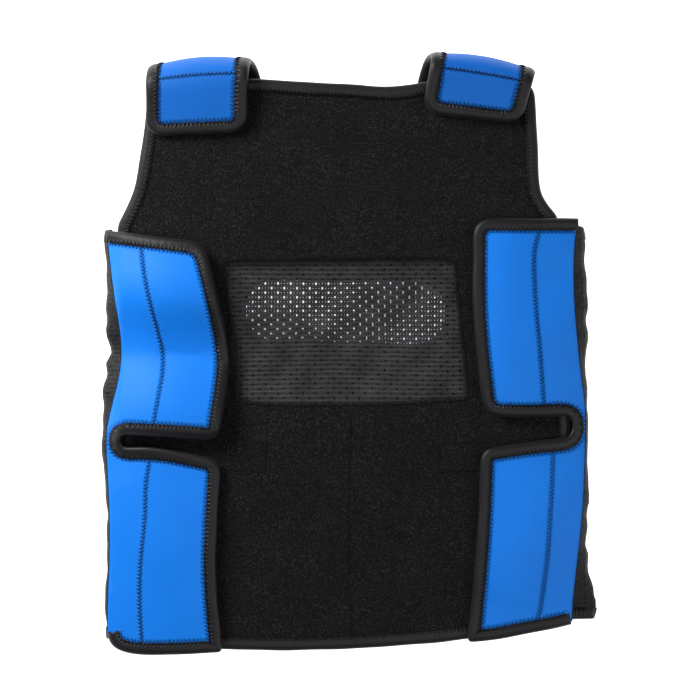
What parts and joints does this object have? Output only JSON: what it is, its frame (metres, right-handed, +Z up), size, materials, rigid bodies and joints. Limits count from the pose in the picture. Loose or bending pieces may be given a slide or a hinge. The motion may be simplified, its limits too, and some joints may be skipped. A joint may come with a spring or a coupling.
{
  "type": "weighted compression vest",
  "caption": "Child's weighted compression vest lying on its back, with a mesh window in the chest, wings that wrap from the sides, folded shoulder straps, bound edges and mesh sides.",
  "frame": {"origin": "on the surface that the vest lies on, under the middle of its bounding box", "axes": "+Y from the hem to the neck, +Z up out of the chest, +X towards the wearer's left"},
  "size_m": [0.3728, 0.4478, 0.0515],
  "materials": {
    "loop_cloth": "matte",
    "blue_cloth": "matte",
    "net_cloth": "satin",
    "tape": "satin"
  },
  "bodies": {
    "root": {"front_panel": "loop_cloth", "front_binding": "tape", "front_mesh_window": "net_cloth", "back_panel": "blue_cloth", "back_mesh_window": "net_cloth", "back_neck_binding": "tape", "back_armhole_binding_right": "tape", "back_armhole_binding_left": "tape", "back_hem_binding": "tape", "wing_right": "blue_cloth", "wing_left": "blue_cloth", "wing_binding_right": "tape", "wing_binding_left": "tape", "shoulder_strap_right": "blue_cloth", "shoulder_strap_left": "blue_cloth", "strap_binding_right": "tape", "strap_binding_left": "tape", "side_mesh_right": "net_cloth", "side_mesh_left": "net_cloth", "armpit_binding_right": "tape", "armpit_binding_left": "tape", "side_hem_binding_right": "tape", "side_hem_binding_left": "tape"}
  },
  "joints": []
}
